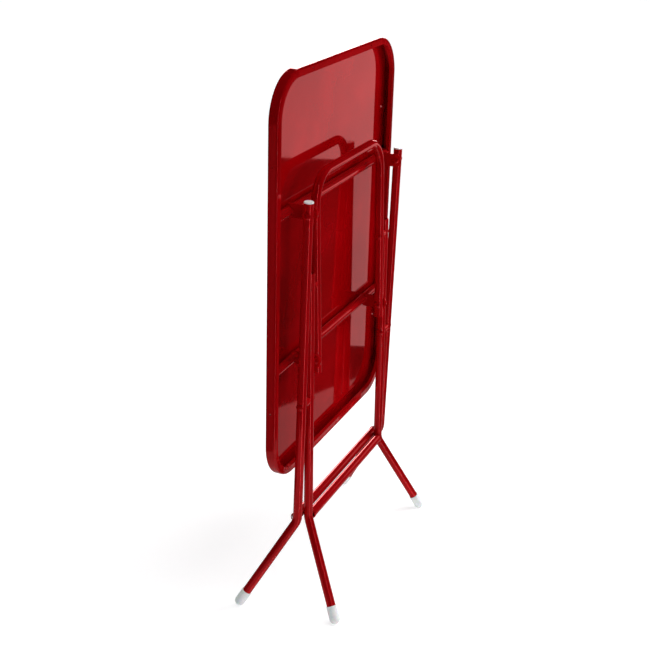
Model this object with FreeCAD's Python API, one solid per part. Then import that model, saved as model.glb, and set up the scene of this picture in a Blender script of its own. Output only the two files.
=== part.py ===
"""Folding steel table, modelled folded and standing upright on its splayed feet.

Millimetres. +Z is up, the floor is Z = 0, and X runs across the table. The underside of the
tabletop faces -Y, towards the legs, and its upper face looks along +Y. The origin is on the
floor, under the middle of the whole table.
"""
import math
import os

import FreeCAD, Part

# Tabletop: one pressed sheet with a skirt, an inward flange and a return lip
TOP_LENGTH = 700.0
TOP_WIDTH = 500.0
TOP_CORNER_RADIUS = 76.0
TOP_LOWER_EDGE_Z = 258.0
SHEET = 1.2
SKIRT_DEPTH = 18.0
FLANGE_WIDTH = 13.0
LIP_DEPTH = 7.0
RIM_BEND_RADIUS = 3.6
DRAIN_HOLE_RADIUS = 1.8
SKIRT_DRAIN_SPACING = 170.0
SIDE_DRAIN_INSET = 140.0
FLANGE_DRAIN_SPACING = 246.0

# Round steel tube used for the legs, the stay and all the cross pieces
TUBE_RADIUS = 8.0
TUBE_WALL = 1.2

# Fold plane, the plane of the legs when the table is folded
FOLD_PLANE_Y = -7.0
TOP_FACE_OFFSET = 43.8

# Pivots: distance in front of or behind the fold plane, and height
TOP_PIVOT = (-5.0, 735.0)
CROSSING_PIVOT = (0.3, 399.5)
STAY_TOP_PIVOT = (3.2, 601.0)
STAY_FOOT_PIVOT = (-1.5, 465.0)

# Outer leg frame
OUTER_LEG_X = 200.0
OUTER_LEG_TOP_Z = 755.0
OUTER_BEND_Z = 177.0
OUTER_FOOT_X = 242.0
OUTER_FOOT_Y = 88.0
OUTER_BAR_OFFSET = 13.6
OUTER_BAR_Z = 173.0
MITRE_OFFSET = 6.0

# Inner leg frame
INNER_LEG_X = 168.5
INNER_LEG_TOP_Z = 627.0
INNER_BEND_Z = 168.5
INNER_FOOT_X = 220.5
INNER_FOOT_Y = -88.0
INNER_BAR_OFFSET = -5.5
INNER_BAR_Z = 171.5

# Both leg frames: the bends, and how far short of the legs' lines the bars end
LEG_BEND_RADIUS = 34.0
BAR_END_INSET = 5.5

# Stay: an inverted U
STAY_X = 144.0
STAY_LOWER_END_Z = 441.0
STAY_TOP_Z = 783.0
STAY_BEND_RADIUS = 50.0

# Pivot ears on the tabletop's cross tubes
EAR_THICKNESS = 3.0
EAR_RADIUS = 12.0
TOP_EAR_INNER_X = 187.0
STAY_EAR_INNER_X = 152.4
UPPER_CROSS_TUBE_Z = 733.5
LOWER_CROSS_TUBE_Z = 468.0
CROSS_TUBE_CLEARANCE = 0.2

# Rivets, washers and spacers
RIVET_RADIUS = 3.0
RIVET_HEAD_RADIUS = 6.5
RIVET_HEAD_HEIGHT = 2.4
HOLE_CLEARANCE = 0.05
FACE_CLEARANCE = 0.3
WASHER_RADIUS = 8.0
SPACER_RADIUS = 7.0

# Plastic feet and plugs
FOOT_WALL = 1.3
FOOT_LENGTH = 24.0
FOOT_FLOOR = 3.0
PLUG_HEAD_HEIGHT = 2.2
PLUG_STEM_LENGTH = 14.0

X_AXIS = FreeCAD.Vector(1, 0, 0)
Y_AXIS = FreeCAD.Vector(0, 1, 0)
ORIGIN = FreeCAD.Vector(0, 0, 0)

TOP_FACE_Y = FOLD_PLANE_Y + TOP_FACE_OFFSET
FLANGE_FACE_Y = TOP_FACE_Y - SKIRT_DEPTH
CROSS_TUBE_Y = TOP_FACE_Y - SHEET - TUBE_RADIUS - CROSS_TUBE_CLEARANCE
TOP_MIDDLE_Z = TOP_LOWER_EDGE_Z + TOP_LENGTH / 2
FOOT_RADIUS = TUBE_RADIUS + FOOT_WALL


def save(name, shape):
    """Write one piece to its own STEP file."""
    shape.exportStep(os.path.join("parts", name + ".step"))


def mirrored(shape):
    """The same piece on the other side of the table."""
    return shape.mirror(ORIGIN, X_AXIS)


def save_pair(name, left):
    """Write a left piece and its mirror image on the right."""
    save(name + "_left", left)
    save(name + "_right", mirrored(left))


def point(x, offset, z):
    """A point given by its distance from the fold plane."""
    return FreeCAD.Vector(x, FOLD_PLANE_Y + offset, z)


def cylinder_x(inner, outer, radius, pivot):
    """A left-hand cylinder along X through a pivot, between two distances from the middle."""
    start = point(-outer, pivot[0], pivot[1])
    return Part.makeCylinder(radius, outer - inner, start, X_AXIS)


def domed_head(face, outward, pivot):
    """A left-hand rivet head whose flat side is at distance face; outward is +1 or -1."""
    sphere_radius = (RIVET_HEAD_RADIUS ** 2 + RIVET_HEAD_HEIGHT ** 2) / (2 * RIVET_HEAD_HEIGHT)
    crown = face + outward * RIVET_HEAD_HEIGHT
    centre = point(-(crown - outward * sphere_radius), pivot[0], pivot[1])
    sphere = Part.makeSphere(sphere_radius, centre)
    beyond = crown + outward * RIVET_HEAD_HEIGHT
    keep = cylinder_x(min(face, beyond), max(face, beyond), RIVET_HEAD_RADIUS, pivot)
    return sphere.common(keep)


def rivet(inner_face, outer_face, pivot):
    """A left-hand rivet with a head at each face."""
    shank = cylinder_x(inner_face, outer_face, RIVET_RADIUS, pivot)
    heads = [domed_head(inner_face, -1, pivot), domed_head(outer_face, 1, pivot)]
    return shank.multiFuse(heads).removeSplitter()


def rivet_end(head_face, shank_end, outward, pivot):
    """One headed end of a left-hand rivet."""
    shank = cylinder_x(min(head_face, shank_end), max(head_face, shank_end), RIVET_RADIUS, pivot)
    return shank.fuse(domed_head(head_face, outward, pivot)).removeSplitter()


def ring(inner, outer, radius, pivot):
    """A left-hand washer or spacer around a rivet."""
    body = cylinder_x(inner, outer, radius, pivot)
    return body.cut(cylinder_x(inner, outer, RIVET_RADIUS + HOLE_CLEARANCE, pivot))


def rounded_path(corners, radius):
    """A path of straight runs with an arc of the given radius at every inner corner."""
    edges = []
    start = corners[0]
    for before, corner, after in zip(corners, corners[1:], corners[2:]):
        back = (before - corner).normalize()
        ahead = (after - corner).normalize()
        half_angle = back.getAngle(ahead) / 2
        setback = radius / math.tan(half_angle)
        middle_distance = radius / math.sin(half_angle) - radius
        arc_start = corner + back * setback
        arc_end = corner + ahead * setback
        arc_middle = corner + (back + ahead).normalize() * middle_distance
        edges.append(Part.makeLine(start, arc_start))
        edges.append(Part.Arc(arc_start, arc_middle, arc_end).toShape())
        start = arc_end
    edges.append(Part.makeLine(start, corners[-1]))
    return Part.Wire(edges)


def swept_rod(corners, bend_radius, radius):
    """A solid round rod along a rounded path."""
    path = rounded_path(corners, bend_radius)
    section = Part.Wire(Part.makeCircle(radius, corners[0], corners[1] - corners[0]))
    return path.makePipeShell([section], True, False)


def swept_tube(corners, bend_radius):
    """A hollow tube along a rounded path."""
    outside = swept_rod(corners, bend_radius, TUBE_RADIUS)
    return outside.cut(swept_rod(corners, bend_radius, TUBE_RADIUS - TUBE_WALL))


def straight_tube(half_length, y, z):
    """A hollow tube along X, centred on the table."""
    start = FreeCAD.Vector(-half_length, y, z)
    outside = Part.makeCylinder(TUBE_RADIUS, 2 * half_length, start, X_AXIS)
    return outside.cut(Part.makeCylinder(TUBE_RADIUS - TUBE_WALL, 2 * half_length, start, X_AXIS))


def rivet_hole(pivot):
    """A hole along X, wide enough to cross every piece on the left side."""
    return cylinder_x(0, TOP_WIDTH / 2, RIVET_RADIUS + HOLE_CLEARANCE, pivot)


def offset_at(pivot_a, pivot_b, z):
    """Distance from the fold plane of the line through two pivots, at a height."""
    slope = (pivot_b[0] - pivot_a[0]) / (pivot_b[1] - pivot_a[1])
    return pivot_a[0] + slope * (z - pivot_a[1])


def rounded_slab(inset, low_y, high_y):
    """The tabletop's outline, drawn in by inset and thickened along Y."""
    half_width = TOP_WIDTH / 2 - inset
    half_length = TOP_LENGTH / 2 - inset
    box = Part.makeBox(
        2 * half_width,
        high_y - low_y,
        2 * half_length,
        FreeCAD.Vector(-half_width, low_y, TOP_MIDDLE_Z - half_length),
    )
    upright = [edge for edge in box.Edges if edge.Length < high_y - low_y + 0.01]
    return box.makeFillet(TOP_CORNER_RADIUS - inset, upright)


def edges_at(shape, y):
    """The edges of a shape that lie in the plane at y."""
    found = []
    for edge in shape.Edges:
        box = edge.BoundBox
        if abs(box.YMin - y) < 0.01 and abs(box.YMax - y) < 0.01:
            found.append(edge)
    return found


def softened_slab(inset, low_y, high_y, radius):
    """A rounded slab whose two rims are bent to a radius."""
    slab = rounded_slab(inset, low_y, high_y)
    return slab.makeFillet(radius, edges_at(slab, low_y) + edges_at(slab, high_y))


def tabletop_panel():
    """The pressed pan with its skirt, inward flange, return lip and drain holes."""
    pan = softened_slab(0, FLANGE_FACE_Y, TOP_FACE_Y, RIM_BEND_RADIUS)
    hollow = softened_slab(SHEET, FLANGE_FACE_Y + SHEET, TOP_FACE_Y - SHEET, RIM_BEND_RADIUS - SHEET)
    mouth = rounded_slab(FLANGE_WIDTH, FLANGE_FACE_Y - SHEET, FLANGE_FACE_Y + 2 * SHEET)
    lip = rounded_slab(FLANGE_WIDTH - SHEET, FLANGE_FACE_Y, FLANGE_FACE_Y + LIP_DEPTH)
    lip = lip.cut(rounded_slab(FLANGE_WIDTH, FLANGE_FACE_Y - SHEET, FLANGE_FACE_Y + LIP_DEPTH + SHEET))
    panel = pan.cut(hollow).cut(mouth).fuse(lip).removeSplitter()
    return panel.cut(Part.makeCompound(drain_holes()))


def drain_holes():
    """Small round holes in the skirt and the flange that let coating run out."""
    skirt_middle_y = TOP_FACE_Y - SKIRT_DEPTH / 2
    reach = 6 * SHEET
    holes = []
    for side in (-1, 1):
        for end in (-1, 1):
            end_z = TOP_MIDDLE_Z + end * TOP_LENGTH / 2
            side_z = TOP_MIDDLE_Z + end * (TOP_LENGTH / 2 - SIDE_DRAIN_INSET)
            places = [
                (FreeCAD.Vector(side * SKIRT_DRAIN_SPACING / 2, skirt_middle_y, end_z), "Z"),
                (FreeCAD.Vector(side * TOP_WIDTH / 2, skirt_middle_y, side_z), "X"),
                (
                    FreeCAD.Vector(
                        side * FLANGE_DRAIN_SPACING / 2,
                        FLANGE_FACE_Y,
                        end_z - end * FLANGE_WIDTH / 2,
                    ),
                    "Y",
                ),
            ]
            for centre, direction in places:
                axis = {"X": X_AXIS, "Y": Y_AXIS, "Z": FreeCAD.Vector(0, 0, 1)}[direction]
                start = centre - axis * (reach / 2)
                holes.append(Part.makeCylinder(DRAIN_HOLE_RADIUS, reach, start, axis))
    return holes


def pivot_ear(inner_x, pivot, tube_z):
    """A flat left-hand ear, welded to the front of a cross tube and rounded at its pivot."""
    outer_x = inner_x + EAR_THICKNESS
    pivot_y = FOLD_PLANE_Y + pivot[0]
    plate = Part.makeBox(
        EAR_THICKNESS,
        CROSS_TUBE_Y - pivot_y,
        2 * EAR_RADIUS,
        FreeCAD.Vector(-outer_x, pivot_y, pivot[1] - EAR_RADIUS),
    )
    ear = plate.fuse(cylinder_x(inner_x, outer_x, EAR_RADIUS, pivot))
    saddle_start = FreeCAD.Vector(-TOP_WIDTH / 2, CROSS_TUBE_Y, tube_z)
    saddle = Part.makeCylinder(TUBE_RADIUS, TOP_WIDTH / 2, saddle_start, X_AXIS)
    return ear.cut(saddle).cut(rivet_hole(pivot)).removeSplitter()


def leg_corners(leg_x, pivots, top_z, bend_z, foot_x, foot_y):
    """The top, bend and foot of a left leg; the foot point is the centre of its round end."""
    return [
        point(-leg_x, offset_at(*pivots, top_z), top_z),
        point(-leg_x, offset_at(*pivots, bend_z), bend_z),
        FreeCAD.Vector(-foot_x, foot_y, FOOT_RADIUS),
    ]


def plastic_foot(corners):
    """A cup pushed over the end of a leg, with a round bottom."""
    end = corners[-1]
    up = (corners[-2] - end).normalize()
    shell = Part.makeCylinder(FOOT_RADIUS, FOOT_LENGTH, end, up)
    shell = shell.fuse(Part.makeSphere(FOOT_RADIUS, end))
    bore = Part.makeCylinder(TUBE_RADIUS, FOOT_LENGTH, end + up * FOOT_FLOOR, up)
    return shell.cut(bore).removeSplitter()


def leg_end(corners):
    """Where the leg tube stops, on the floor of its plastic foot."""
    up = (corners[-2] - corners[-1]).normalize()
    return corners[-1] + up * FOOT_FLOOR


def top_plug(corners):
    """A plug with a thin flat head, pushed into the open top of an outer leg."""
    down = (corners[1] - corners[0]).normalize()
    head = Part.makeCylinder(TUBE_RADIUS, PLUG_HEAD_HEIGHT, corners[0], down * -1)
    stem = Part.makeCylinder(TUBE_RADIUS - TUBE_WALL, PLUG_STEM_LENGTH, corners[0], down)
    crown = edges_at_far_end(head, corners[0])
    return head.makeFillet(PLUG_HEAD_HEIGHT / 3, crown).fuse(stem)


def edges_at_far_end(disc, base):
    """The round edge of a disc on the side away from its base point."""
    circles = [edge for edge in disc.Edges if hasattr(edge.Curve, "Radius")]
    return [max(circles, key=lambda edge: (edge.CenterOfMass - base).Length)]


def between_legs(y, z, leg_x, filled_leg):
    """A cross bar with both ends shaped to the legs that it is welded to."""
    bar = straight_tube(leg_x - BAR_END_INSET, y, z)
    return bar.cut(filled_leg).cut(mirrored(filled_leg))


def mitre(leg_x, y, z):
    """A wedge that takes the far corner off a cross bar's left end, where it would stand out behind the leg."""
    reach = 3 * TUBE_RADIUS
    corners = [
        FreeCAD.Vector(-leg_x - reach, y - reach, z - reach),
        FreeCAD.Vector(-leg_x - reach, y + reach, z - reach),
        FreeCAD.Vector(-leg_x + reach, y + reach, z - reach),
    ]
    outline = Part.makePolygon(corners + corners[:1])
    return Part.Face(outline).extrude(FreeCAD.Vector(0, 0, 2 * reach))


def build_tabletop():
    save("tabletop_panel", tabletop_panel())
    half_length = TOP_WIDTH / 2 - FLANGE_WIDTH
    save("upper_cross_tube", straight_tube(half_length, CROSS_TUBE_Y, UPPER_CROSS_TUBE_Z))
    save("lower_cross_tube", straight_tube(half_length, CROSS_TUBE_Y, LOWER_CROSS_TUBE_Z))
    upper_ear = pivot_ear(TOP_EAR_INNER_X, TOP_PIVOT, UPPER_CROSS_TUBE_Z)
    save_pair("top_pivot_ear", upper_ear)
    lower_ear = pivot_ear(STAY_EAR_INNER_X, STAY_FOOT_PIVOT, LOWER_CROSS_TUBE_Z)
    save_pair("stay_foot_ear", lower_ear)
    outer_face = OUTER_LEG_X + TUBE_RADIUS + FACE_CLEARANCE
    save_pair("top_pivot_rivet", rivet(TOP_EAR_INNER_X, outer_face, TOP_PIVOT))
    inner_face = STAY_X - TUBE_RADIUS - FACE_CLEARANCE
    ear_face = STAY_EAR_INNER_X + EAR_THICKNESS
    save_pair("stay_foot_rivet", rivet(inner_face, ear_face, STAY_FOOT_PIVOT))


def build_outer_leg_frame():
    pivots = (TOP_PIVOT, CROSSING_PIVOT)
    corners = leg_corners(
        OUTER_LEG_X, pivots, OUTER_LEG_TOP_Z, OUTER_BEND_Z, OUTER_FOOT_X, OUTER_FOOT_Y
    )
    ends = corners[:-1] + [leg_end(corners)]
    leg = swept_tube(ends, LEG_BEND_RADIUS)
    save_pair("outer_leg", leg.cut(rivet_hole(TOP_PIVOT)).cut(rivet_hole(CROSSING_PIVOT)))
    filled_leg = swept_rod(ends, LEG_BEND_RADIUS, TUBE_RADIUS)
    bar_y = FOLD_PLANE_Y + OUTER_BAR_OFFSET
    bar = between_legs(bar_y, OUTER_BAR_Z, OUTER_LEG_X, filled_leg)
    wedge = mitre(OUTER_LEG_X, FOLD_PLANE_Y + MITRE_OFFSET, OUTER_BAR_Z)
    save("outer_cross_bar", bar.cut(wedge).cut(mirrored(wedge)))
    save_pair("outer_leg_plug", top_plug(corners))
    save_pair("outer_foot", plastic_foot(corners))
    inner_face = INNER_LEG_X - TUBE_RADIUS - FACE_CLEARANCE
    outer_face = OUTER_LEG_X + TUBE_RADIUS
    save_pair("crossing_rivet", rivet(inner_face, outer_face, CROSSING_PIVOT))
    spacer_inner = INNER_LEG_X + TUBE_RADIUS + FACE_CLEARANCE
    spacer_outer = OUTER_LEG_X - TUBE_RADIUS
    save_pair("crossing_spacer", ring(spacer_inner, spacer_outer, SPACER_RADIUS, CROSSING_PIVOT))
    washer_inner = TOP_EAR_INNER_X + EAR_THICKNESS + FACE_CLEARANCE
    save_pair("top_pivot_washer", ring(washer_inner, spacer_outer, WASHER_RADIUS, TOP_PIVOT))


def build_inner_leg_frame():
    pivots = (STAY_TOP_PIVOT, CROSSING_PIVOT)
    corners = leg_corners(
        INNER_LEG_X, pivots, INNER_LEG_TOP_Z, INNER_BEND_Z, INNER_FOOT_X, INNER_FOOT_Y
    )
    ends = corners[:-1] + [leg_end(corners)]
    leg = swept_tube(ends, LEG_BEND_RADIUS)
    save_pair("inner_leg", leg.cut(rivet_hole(STAY_TOP_PIVOT)).cut(rivet_hole(CROSSING_PIVOT)))
    filled_leg = swept_rod(ends, LEG_BEND_RADIUS, TUBE_RADIUS)
    bar_y = FOLD_PLANE_Y + INNER_BAR_OFFSET
    save("inner_cross_bar", between_legs(bar_y, INNER_BAR_Z, INNER_LEG_X, filled_leg))
    save_pair("inner_foot", plastic_foot(corners))
    shank_end = STAY_X + TUBE_RADIUS + FACE_CLEARANCE
    head_face = INNER_LEG_X + TUBE_RADIUS
    save_pair("stay_top_rivet_outer", rivet_end(head_face, shank_end, 1, STAY_TOP_PIVOT))
    spacer_outer = INNER_LEG_X - TUBE_RADIUS
    save_pair("stay_top_spacer", ring(shank_end, spacer_outer, SPACER_RADIUS, STAY_TOP_PIVOT))


def build_stay():
    pivots = (STAY_FOOT_PIVOT, STAY_TOP_PIVOT)
    foot = offset_at(*pivots, STAY_LOWER_END_Z)
    top = offset_at(*pivots, STAY_TOP_Z)
    corners = [
        point(-STAY_X, foot, STAY_LOWER_END_Z),
        point(-STAY_X, top, STAY_TOP_Z),
        point(STAY_X, top, STAY_TOP_Z),
        point(STAY_X, foot, STAY_LOWER_END_Z),
    ]
    stay = swept_tube(corners, STAY_BEND_RADIUS)
    for pivot in pivots:
        hole = rivet_hole(pivot)
        stay = stay.cut(hole).cut(mirrored(hole))
    save("stay", stay)
    head_face = STAY_X - TUBE_RADIUS
    shank_end = STAY_X + TUBE_RADIUS
    save_pair("stay_top_rivet_inner", rivet_end(head_face, shank_end, -1, STAY_TOP_PIVOT))


os.makedirs("parts", exist_ok=True)
build_tabletop()
build_outer_leg_frame()
build_inner_leg_frame()
build_stay()
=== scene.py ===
"""Looks of a folded steel table: glossy red enamel on tube and sheet, white plastic ends, studio light."""

import math

import bmesh
import bpy
from mathutils import Matrix, Vector


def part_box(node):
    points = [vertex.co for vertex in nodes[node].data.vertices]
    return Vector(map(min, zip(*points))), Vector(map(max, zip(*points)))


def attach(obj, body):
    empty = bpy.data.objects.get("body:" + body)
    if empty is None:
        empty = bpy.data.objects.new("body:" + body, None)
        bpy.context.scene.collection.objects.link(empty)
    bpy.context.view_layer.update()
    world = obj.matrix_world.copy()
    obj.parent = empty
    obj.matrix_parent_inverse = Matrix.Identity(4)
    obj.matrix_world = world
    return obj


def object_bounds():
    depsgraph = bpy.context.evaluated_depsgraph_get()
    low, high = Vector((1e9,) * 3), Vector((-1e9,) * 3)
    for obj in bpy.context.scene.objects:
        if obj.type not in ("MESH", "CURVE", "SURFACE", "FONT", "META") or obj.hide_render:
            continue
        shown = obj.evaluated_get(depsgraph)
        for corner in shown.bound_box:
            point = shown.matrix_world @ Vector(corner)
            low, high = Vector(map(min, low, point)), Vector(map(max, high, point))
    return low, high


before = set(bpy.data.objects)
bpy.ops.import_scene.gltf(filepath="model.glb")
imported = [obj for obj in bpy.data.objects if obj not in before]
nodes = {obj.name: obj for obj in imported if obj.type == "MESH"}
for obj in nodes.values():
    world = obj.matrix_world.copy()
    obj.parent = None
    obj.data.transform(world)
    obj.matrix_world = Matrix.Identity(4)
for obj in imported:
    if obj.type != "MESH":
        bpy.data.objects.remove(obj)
frame_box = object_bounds()

# Camera, in degrees and metres, round a point near the middle of the table
CAMERA_AZIMUTH = -67.2
CAMERA_ELEVATION = 22.1
CAMERA_ROLL = 1.66
CAMERA_DISTANCE = 2.195
CAMERA_TARGET_OFFSET = Vector((-0.011, 0.025, -0.001))
CAMERA_LENS = 67.6
CAMERA_SENSOR = 36.0
CAMERA_SHIFT = (-0.008, -0.0048)

# Below, a NOISE is cycles per metre, detail and roughness, and a STEP is where a smooth step starts and ends

# Enamel: linear colours, unevenness, gloss and clear coat
ENAMEL_RED = (0.50, 0.0008, 0.0040)
ENAMEL_DEEP = (0.40, 0.0004, 0.0022)
# The brighter red below and the edge step further down paint a highlight along convex edges
ENAMEL_EDGE_HIGHLIGHT = (0.68, 0.010, 0.014)
ENAMEL_TINT = (1.0, 0.32, 0.34, 1.0)
ENAMEL_METALLIC = 0.45
ENAMEL_ROUGHNESS = (0.045, 0.075)
COLOUR_NOISE = (9.0, 3.0, 0.5)
COLOUR_STEP = (0.35, 0.68)
SMEAR_NOISE = (34.0, 4.0, 0.6)
SMEAR_STEP = (0.42, 0.75)
EDGE_HIGHLIGHT_STEP = (0.53, 0.60)
WAVE_NOISE = (11.0, 1.0, 0.5)
PEEL_NOISE = (260.0, 1.0, 0.5)
COAT_WEIGHT = 0.25
COAT_ROUGHNESS = 0.01
COAT_IOR = 1.45

# Each enamel's waves and orange peel, as depths in metres, and how strong the painted highlight along its
# edges is
ENAMELS = {
    "panel_enamel": (0.00010, 0.0000002, 0.5),
    "tube_enamel": (0.00006, 0.000001, 0.35),
    "rivet_enamel": (0.00006, 0.000003, 0.8),
    "spacer_enamel": (0.00006, 0.000003, 0.5),
}

# White plastic: linear colours, gloss, depth of the light in it, and grain in metres
PLASTIC_WHITE = (0.93, 0.94, 0.95)
PLASTIC_SHADE = (0.84, 0.86, 0.88)
PLASTIC_ROUGHNESS = (0.26, 0.42)
PLASTIC_SUBSURFACE = 0.18
SUBSURFACE_DEPTH = 0.004
FLOW_NOISE = (60.0, 4.0, 0.6)
FLOW_STEP = (0.35, 0.72)
SCUFF_NOISE = (210.0, 5.0, 0.7)
SCUFF_STEP = (0.45, 0.7)
GRAIN_NOISE = (900.0, 2.0, 0.5)
GRAIN_DEPTH = 0.00004

# Pressed rim of the tabletop, in metres: corner radius, flange depth, width and slope, and its puckers
RIM_CORNER = 0.076
FLANGE_HALF_DEPTH = 0.0024
FLANGE_WIDTH = 0.013
FLANGE_SLOPE = 0.12
PUCKER_COUNT = 44.0
PUCKER_HEIGHT = 0.00045
PUCKER_NOISE = (30.0, 2.0, 0.5)
PUCKER_STEP = (0.35, 0.65)
CORNER_STEP = (0.004, 0.022)
INNER_PART_STEP = (0.004, FLANGE_WIDTH)

# Weld beads, in metres, and how much their ripples and slower lumps swell them
BEAD_WIDTH = 0.0022
BEAD_HEIGHT = 0.0009
BEAD_RIPPLE_LENGTH = 0.0016
BEAD_SEGMENTS = 96
BEAD_SIDES = 10
RIPPLE_SWELL = 0.22
LUMP_SWELL = 0.12
LUMPS_PER_TURN = 3
LUMP_SHIFT_PER_METRE = 40.0
INNER_BEAD_INSET = 0.0025
OUTER_BEAD_INSET = 0.0070
TUBE_RADIUS = 0.008

# Floor: size in metres, linear colours and glow
FLOOR_REACH = 9.0
FLOOR_SEGMENTS = 96
FLOOR_PALE = (0.76, 0.77, 0.78)
FLOOR_PALER = (0.79, 0.795, 0.80)
FLOOR_NOISE = (0.8, 2.0, 0.5)
FLOOR_STEP = (0.3, 0.7)
FLOOR_ROUGHNESS = 0.9
FLOOR_GLOW = 0.50
FLOOR_CARD_SIZE = (0.95, 1.7)
FLOOR_CARD_POWER = 1.6
FLOOR_CARD_HEIGHT = 0.001

# Bright panels of the studio: azimuth, half width, lowest and highest elevation, soft edge, strength
STUDIO_PANELS = (
    (67.0, 18.0, 3.0, 17.0, 3.0, 6.0),
    (212.0, 0.8, -60.0, 50.0, 1.2, 7.0),
)
STUDIO_DIM = 0.010
STUDIO_TINT = (1.0, 0.985, 0.97, 1.0)
BACKDROP_TINT = (0.97, 0.98, 0.99, 1.0)

# Lights: a soft box seen in gloss is a card that only reflections see, the others only light matt surfaces
SOFT_BOXES = {
    "key": dict(azimuth=135.0, distance=1.6, height=1.0, size=(0.9, 1.0), power=17.0, seen_in_gloss=False),
    "back": dict(azimuth=20.0, distance=2.2, height=1.2, size=(1.6, 1.0), power=12.0, seen_in_gloss=False),
    "high_card": dict(azimuth=112.8, distance=1.2, height=0.63, size=(0.42, 0.34), power=0.34,
                      seen_in_gloss=True, sideways=-0.01),
    "low_card": dict(azimuth=112.8, distance=1.2, height=0.183, size=(0.15, 0.553), power=0.16,
                     seen_in_gloss=True, sideways=-0.145),
}
OVERHEAD = dict(azimuth=150.0, elevation=72.0, softness=50.0, strength=1.9)


def add_node(tree, kind, **inputs):
    """A shader node with some of its inputs set, each by a value or by a link from a socket."""
    node = tree.nodes.new(kind)
    for name, value in inputs.items():
        socket = node.inputs[name.replace("_", " ")]
        if isinstance(value, bpy.types.NodeSocket):
            tree.links.new(value, socket)
        else:
            socket.default_value = value
    return node


def math_node(tree, operation, first, second=0.0):
    """The result of one math operation."""
    node = tree.nodes.new("ShaderNodeMath")
    node.operation = operation
    for socket, value in zip(node.inputs, (first, second)):
        if isinstance(value, bpy.types.NodeSocket):
            tree.links.new(value, socket)
        else:
            socket.default_value = value
    return node.outputs[0]


def ramp(tree, value, start, end, low=0.0, high=1.0):
    """A smooth step from low to high while value goes from start to end."""
    node = add_node(tree, "ShaderNodeMapRange", Value=value)
    node.interpolation_type = "SMOOTHSTEP"
    node.inputs["From Min"].default_value = start
    node.inputs["From Max"].default_value = end
    node.inputs["To Min"].default_value = low
    node.inputs["To Max"].default_value = high
    return node.outputs["Result"]


def mix_colour(tree, factor, first, second):
    """A mix of two colours, each a tuple or a socket."""
    node = tree.nodes.new("ShaderNodeMix")
    node.data_type = "RGBA"
    tree.links.new(factor, node.inputs[0])
    for socket, value in zip((node.inputs[6], node.inputs[7]), (first, second)):
        if isinstance(value, bpy.types.NodeSocket):
            tree.links.new(value, socket)
        else:
            socket.default_value = (*value, 1.0)
    return node.outputs[2]


def bump(tree, height, distance, below=None):
    """A bump of that depth in metres, on top of another bump if one is given."""
    node = add_node(tree, "ShaderNodeBump", Height=height, Distance=distance, Strength=1.0)
    if below is not None:
        tree.links.new(below, node.inputs["Normal"])
    return node.outputs["Normal"]


def noise(tree, scale, detail, roughness):
    """Noise over the piece's own coordinates, with scale in cycles per metre."""
    place = tree.nodes.new("ShaderNodeTexCoord").outputs["Object"]
    node = add_node(tree, "ShaderNodeTexNoise", Vector=place, Scale=scale)
    node.inputs["Detail"].default_value = detail
    node.inputs["Roughness"].default_value = roughness
    return node.outputs["Fac"]


def new_material(name):
    """An empty node material: its tree, its shader and itself."""
    material = bpy.data.materials.new(name)
    material.use_nodes = True
    tree = material.node_tree
    shader = tree.nodes["Principled BSDF"]
    return material, tree, shader


def enamel(name, waviness, peel, edge_highlight, pressing=None):
    """Glossy red stoved enamel: uneven depth of colour, orange peel, gentle waves and a painted highlight
    along thin edges.
    """
    material, tree, shader = new_material(name)
    depth = ramp(tree, noise(tree, *COLOUR_NOISE), *COLOUR_STEP)
    colour = mix_colour(tree, depth, ENAMEL_DEEP, ENAMEL_RED)
    # Painted edge highlight: sharp convex edges, found by pointiness, are painted a brighter red
    edge = add_node(tree, "ShaderNodeNewGeometry").outputs["Pointiness"]
    edge_highlight_mask = ramp(tree, edge, *EDGE_HIGHLIGHT_STEP, high=edge_highlight)
    colour = mix_colour(tree, edge_highlight_mask, colour, ENAMEL_EDGE_HIGHLIGHT)
    tree.links.new(colour, shader.inputs["Base Color"])
    smears = ramp(tree, noise(tree, *SMEAR_NOISE), *SMEAR_STEP, *ENAMEL_ROUGHNESS)
    tree.links.new(smears, shader.inputs["Roughness"])
    shader.inputs["Metallic"].default_value = ENAMEL_METALLIC
    shader.inputs["Specular Tint"].default_value = ENAMEL_TINT
    shader.inputs["Coat Weight"].default_value = COAT_WEIGHT
    shader.inputs["Coat Roughness"].default_value = COAT_ROUGHNESS
    shader.inputs["Coat IOR"].default_value = COAT_IOR
    pressed = None if pressing is None else bump(tree, pressing(tree), distance=1.0)
    waves = bump(tree, noise(tree, *WAVE_NOISE), waviness, pressed)
    skin = bump(tree, noise(tree, *PEEL_NOISE), peel, waves)
    tree.links.new(skin, shader.inputs["Normal"])
    tree.links.new(waves, shader.inputs["Coat Normal"])
    return material


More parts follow.
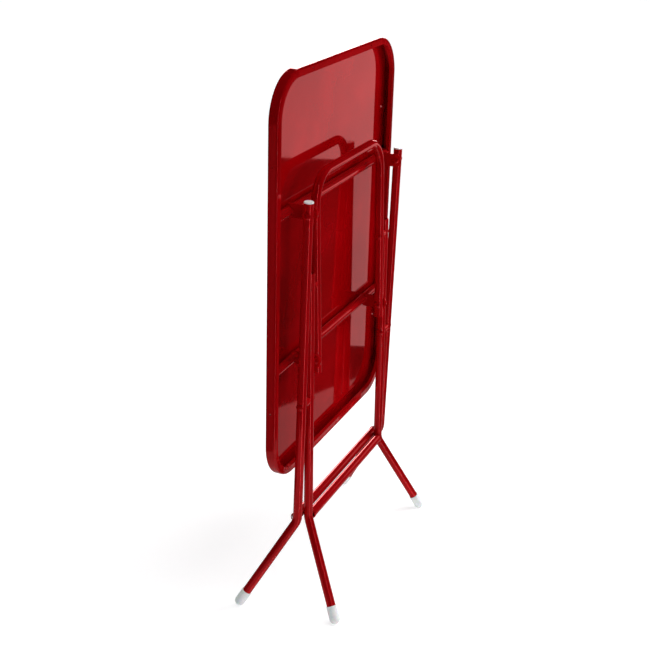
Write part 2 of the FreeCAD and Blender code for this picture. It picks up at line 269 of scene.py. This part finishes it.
def pressed_rim(tree):
    """Height of the rim's flange, whose inner edge springs up, with puckers round the corners."""
    low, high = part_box("tabletop_panel")
    centre, half = (low + high) / 2, (high - low) / 2
    place = tree.nodes.new("ShaderNodeTexCoord").outputs["Object"]
    part = add_node(tree, "ShaderNodeSeparateXYZ", Vector=place).outputs
    beyond = []
    for axis, letter in ((0, "X"), (2, "Z")):
        reach = math_node(tree, "ABSOLUTE", math_node(tree, "SUBTRACT", part[letter], centre[axis]))
        beyond.append(math_node(tree, "SUBTRACT", reach, half[axis] - RIM_CORNER))
    outside = [math_node(tree, "MAXIMUM", value, 0.0) for value in beyond]
    squares = [math_node(tree, "MULTIPLY", value, value) for value in outside]
    corner_distance = math_node(tree, "SQRT", math_node(tree, "ADD", *squares))
    straight_distance = math_node(tree, "MINIMUM", math_node(tree, "MAXIMUM", *beyond), 0.0)
    past_centre = math_node(tree, "ADD", corner_distance, straight_distance)
    from_edge = math_node(tree, "SUBTRACT", RIM_CORNER, past_centre)
    slope = math_node(tree, "MULTIPLY", from_edge, FLANGE_SLOPE)
    angle = math_node(tree, "ARCTAN2", *outside)
    ripple = math_node(tree, "SINE", math_node(tree, "MULTIPLY", angle, PUCKER_COUNT))
    uneven = ramp(tree, noise(tree, *PUCKER_NOISE), *PUCKER_STEP, high=PUCKER_HEIGHT)
    in_corner = ramp(tree, math_node(tree, "MINIMUM", *outside), *CORNER_STEP)
    inner_part = ramp(tree, from_edge, *INNER_PART_STEP)
    where = math_node(tree, "MULTIPLY", in_corner, inner_part)
    pucker = math_node(tree, "MULTIPLY", math_node(tree, "MULTIPLY", ripple, uneven), where)
    flange_face = low[1] + FLANGE_HALF_DEPTH
    on_flange = math_node(tree, "LESS_THAN", part["Y"], flange_face)
    return math_node(tree, "MULTIPLY", math_node(tree, "ADD", slope, pucker), on_flange)


def plastic(name):
    """White moulded plastic, a little translucent, with faint flow marks and a fine grain."""
    material, tree, shader = new_material(name)
    flow = ramp(tree, noise(tree, *FLOW_NOISE), *FLOW_STEP)
    tree.links.new(mix_colour(tree, flow, PLASTIC_WHITE, PLASTIC_SHADE), shader.inputs["Base Color"])
    scuffs = ramp(tree, noise(tree, *SCUFF_NOISE), *SCUFF_STEP, *PLASTIC_ROUGHNESS)
    tree.links.new(scuffs, shader.inputs["Roughness"])
    shader.inputs["Subsurface Weight"].default_value = PLASTIC_SUBSURFACE
    shader.inputs["Subsurface Scale"].default_value = SUBSURFACE_DEPTH
    grain = bump(tree, noise(tree, *GRAIN_NOISE), GRAIN_DEPTH)
    tree.links.new(grain, shader.inputs["Normal"])
    return material


def paint_nodes():
    """Every CAD node gets the material of its own slot."""
    pressings = {"panel_enamel": pressed_rim}
    looks = {name: enamel(name, *depths, pressings.get(name)) for name, depths in ENAMELS.items()}
    looks["white_plastic"] = plastic("white_plastic")
    for node in nodes.values():
        slot = node.data.materials[0].name
        node.data.materials[0] = looks[slot]
    return looks


def weld_bead(name, body, x, around):
    """A rippled weld bead round a tube that runs along X; around is the tube's node."""
    low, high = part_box(around)
    centre = Vector((x, (low.y + high.y) / 2, (low.z + high.z) / 2))
    ripples = round(2 * math.pi * TUBE_RADIUS / BEAD_RIPPLE_LENGTH)
    shape = bmesh.new()
    rings = []
    for i in range(BEAD_SEGMENTS):
        turn = 2 * math.pi * i / BEAD_SEGMENTS
        lump = math.sin(LUMPS_PER_TURN * turn + x * LUMP_SHIFT_PER_METRE)
        swell = 1.0 + RIPPLE_SWELL * math.sin(ripples * turn) + LUMP_SWELL * lump
        ring = []
        for k in range(BEAD_SIDES):
            lean = 2 * math.pi * k / BEAD_SIDES
            out = TUBE_RADIUS + BEAD_HEIGHT * swell * math.sin(lean)
            along = BEAD_WIDTH / 2 * swell * math.cos(lean)
            offset = Vector((along, out * math.cos(turn), out * math.sin(turn)))
            ring.append(shape.verts.new(centre + offset))
        rings.append(ring)
    for i in range(BEAD_SEGMENTS):
        here, following = rings[i], rings[(i + 1) % BEAD_SEGMENTS]
        for k in range(BEAD_SIDES):
            beside = (k + 1) % BEAD_SIDES
            shape.faces.new((here[k], here[beside], following[beside], following[k]))
    bmesh.ops.recalc_face_normals(shape, faces=shape.faces)
    mesh = bpy.data.meshes.new(name)
    shape.to_mesh(mesh)
    shape.free()
    mesh.shade_smooth()
    mesh.materials.append(looks["tube_enamel"])
    bead = bpy.data.objects.new(name, mesh)
    bpy.context.scene.collection.objects.link(bead)
    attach(bead, body)


def build_welds():
    """Beads where the cross tubes meet the skirt and the ears, and where the low bars meet the legs."""
    for level, ear in (("upper", "top_pivot_ear_right"), ("lower", "stay_foot_ear_right")):
        tube = f"{level}_cross_tube"
        ear_low, ear_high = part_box(ear)
        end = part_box(tube)[1].x - BEAD_WIDTH / 2
        for place, x in (("end", end), ("ear_inner", ear_low.x), ("ear_outer", ear_high.x)):
            weld_bead(f"{level}_{place}_weld_right", "tabletop", x, tube)
            weld_bead(f"{level}_{place}_weld_left", "tabletop", -x, tube)
    for frame_name, inset in (("outer", OUTER_BEAD_INSET), ("inner", INNER_BEAD_INSET)):
        bar = f"{frame_name}_cross_bar"
        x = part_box(bar)[1].x - inset
        weld_bead(f"{frame_name}_bar_weld_right", f"{frame_name}_leg_frame", x, bar)
        weld_bead(f"{frame_name}_bar_weld_left", f"{frame_name}_leg_frame", -x, bar)


def build_floor():
    """The plain pale floor."""
    mesh = bpy.data.meshes.new("floor")
    shape = bmesh.new()
    bmesh.ops.create_circle(shape, cap_ends=True, segments=FLOOR_SEGMENTS, radius=FLOOR_REACH)
    shape.to_mesh(mesh)
    shape.free()
    floor = bpy.data.objects.new("floor", mesh)
    bpy.context.scene.collection.objects.link(floor)
    material, tree, shader = new_material("floor")
    tone = ramp(tree, noise(tree, *FLOOR_NOISE), *FLOOR_STEP)
    tree.links.new(mix_colour(tree, tone, FLOOR_PALE, FLOOR_PALER), shader.inputs["Base Color"])
    shader.inputs["Roughness"].default_value = FLOOR_ROUGHNESS
    shader.inputs["Specular IOR Level"].default_value = 0.0
    shader.inputs["Emission Color"].default_value = (1.0, 1.0, 1.0, 1.0)
    shader.inputs["Emission Strength"].default_value = FLOOR_GLOW
    mesh.materials.append(material)
    floor.visible_glossy = False


def glow(tree, direction, azimuth, half_width, lowest, highest, edge):
    """A soft-edged bright panel in the sky, in degrees; azimuth 0 is +Y and 90 is +X."""
    part = add_node(tree, "ShaderNodeSeparateXYZ", Vector=direction).outputs
    turn = math.radians(azimuth)
    sideways = math_node(tree, "ADD",
                         math_node(tree, "MULTIPLY", part["X"], math.cos(turn)),
                         math_node(tree, "MULTIPLY", part["Y"], -math.sin(turn)))
    forward = math_node(tree, "ADD",
                        math_node(tree, "MULTIPLY", part["X"], math.sin(turn)),
                        math_node(tree, "MULTIPLY", part["Y"], math.cos(turn)))
    angle = math_node(tree, "DEGREES", math_node(tree, "ARCTAN2", sideways, forward))
    height = math_node(tree, "DEGREES", math_node(tree, "ARCSINE", part["Z"]))
    across = ramp(tree, math_node(tree, "ABSOLUTE", angle), half_width + edge, half_width)
    up = ramp(tree, height, lowest - edge, lowest)
    down = ramp(tree, height, highest + edge, highest)
    return math_node(tree, "MULTIPLY", across, math_node(tree, "MULTIPLY", up, down))


def build_world():
    """A dim studio whose bright panels light the table and show in it, with a white backdrop."""
    world = bpy.data.worlds.new("studio")
    world.use_nodes = True
    bpy.context.scene.world = world
    tree = world.node_tree
    direction = tree.nodes.new("ShaderNodeTexCoord").outputs["Generated"]
    light = None
    for azimuth, half_width, lowest, highest, edge, strength in STUDIO_PANELS:
        panel = glow(tree, direction, azimuth, half_width, lowest, highest, edge)
        shine = math_node(tree, "MULTIPLY", panel, strength)
        light = shine if light is None else math_node(tree, "ADD", light, shine)
    light = math_node(tree, "ADD", light, STUDIO_DIM)
    studio = tree.nodes["Background"]
    studio.inputs["Color"].default_value = STUDIO_TINT
    tree.links.new(light, studio.inputs["Strength"])
    white = add_node(tree, "ShaderNodeBackground", Color=BACKDROP_TINT, Strength=1.0)
    seen = tree.nodes.new("ShaderNodeLightPath").outputs["Is Camera Ray"]
    choice = tree.nodes.new("ShaderNodeMixShader")
    tree.links.new(seen, choice.inputs[0])
    tree.links.new(studio.outputs[0], choice.inputs[1])
    tree.links.new(white.outputs[0], choice.inputs[2])
    tree.links.new(choice.outputs[0], tree.nodes["World Output"].inputs["Surface"])


def soft_box(name, azimuth, distance, height, size, power, seen_in_gloss, sideways=0.0):
    """An upright soft box that faces the table; azimuth 0 is +Y and 90 is +X, and height is its centre's."""
    lamp = bpy.data.lights.new(name, "AREA")
    lamp.shape = "RECTANGLE"
    lamp.size, lamp.size_y = size
    lamp.energy = power
    holder = bpy.data.objects.new(name, lamp)
    bpy.context.scene.collection.objects.link(holder)
    turn = math.radians(azimuth)
    away = Vector((math.sin(turn), math.cos(turn), 0.0))
    across = Vector((math.cos(turn), -math.sin(turn), 0.0))
    holder.location = away * distance + across * sideways + Vector((0.0, 0.0, height))
    holder.rotation_euler = (-away).to_track_quat("-Z", "Y").to_euler()
    holder.visible_camera = False
    holder.visible_glossy = seen_in_gloss
    holder.visible_diffuse = not seen_in_gloss


def sun_light(name, azimuth, elevation, softness, strength):
    """Broad even light, as from a large bank overhead; angles in degrees, azimuth 0 is +Y and 90 is +X."""
    lamp = bpy.data.lights.new(name, "SUN")
    lamp.energy = strength
    lamp.angle = math.radians(softness)
    holder = bpy.data.objects.new(name, lamp)
    bpy.context.scene.collection.objects.link(holder)
    turn, tilt = math.radians(azimuth), math.radians(elevation)
    away = Vector((math.sin(turn) * math.cos(tilt), math.cos(turn) * math.cos(tilt), math.sin(tilt)))
    holder.rotation_euler = (-away).to_track_quat("-Z", "Y").to_euler()
    holder.visible_glossy = False


def floor_card():
    """The lit paper under the table as glossy paint sees it: a strip along the camera's line of sight."""
    lamp = bpy.data.lights.new("floor_card", "AREA")
    lamp.shape = "RECTANGLE"
    lamp.size, lamp.size_y = FLOOR_CARD_SIZE
    lamp.energy = FLOOR_CARD_POWER
    holder = bpy.data.objects.new("floor_card", lamp)
    bpy.context.scene.collection.objects.link(holder)
    holder.location = (0.0, 0.0, FLOOR_CARD_HEIGHT)
    holder.rotation_euler = (math.pi, 0.0, math.radians(CAMERA_AZIMUTH))
    holder.visible_camera = False
    holder.visible_diffuse = False


def build_camera():
    """The photograph's viewing angle."""
    data = bpy.data.cameras.new("camera")
    data.lens = CAMERA_LENS
    data.sensor_width = CAMERA_SENSOR
    data.shift_x, data.shift_y = CAMERA_SHIFT
    camera = bpy.data.objects.new("camera", data)
    bpy.context.scene.collection.objects.link(camera)
    azimuth, elevation = math.radians(CAMERA_AZIMUTH), math.radians(CAMERA_ELEVATION)
    back = Vector((math.sin(azimuth) * math.cos(elevation),
                   -math.cos(azimuth) * math.cos(elevation),
                   math.sin(elevation)))
    target = (frame_box[0] + frame_box[1]) / 2 + CAMERA_TARGET_OFFSET
    camera.location = target + back * CAMERA_DISTANCE
    aim = (-back).to_track_quat("-Z", "Y").to_matrix()
    roll = Matrix.Rotation(math.radians(CAMERA_ROLL), 3, "Z")
    camera.rotation_euler = (aim @ roll).to_euler()
    bpy.context.scene.camera = camera


looks = paint_nodes()
build_welds()
build_floor()
build_world()
sun_light("overhead", **OVERHEAD)
for box_name, box in SOFT_BOXES.items():
    soft_box(box_name, **box)
floor_card()
build_camera()
bpy.context.scene.view_settings.view_transform = "Standard"
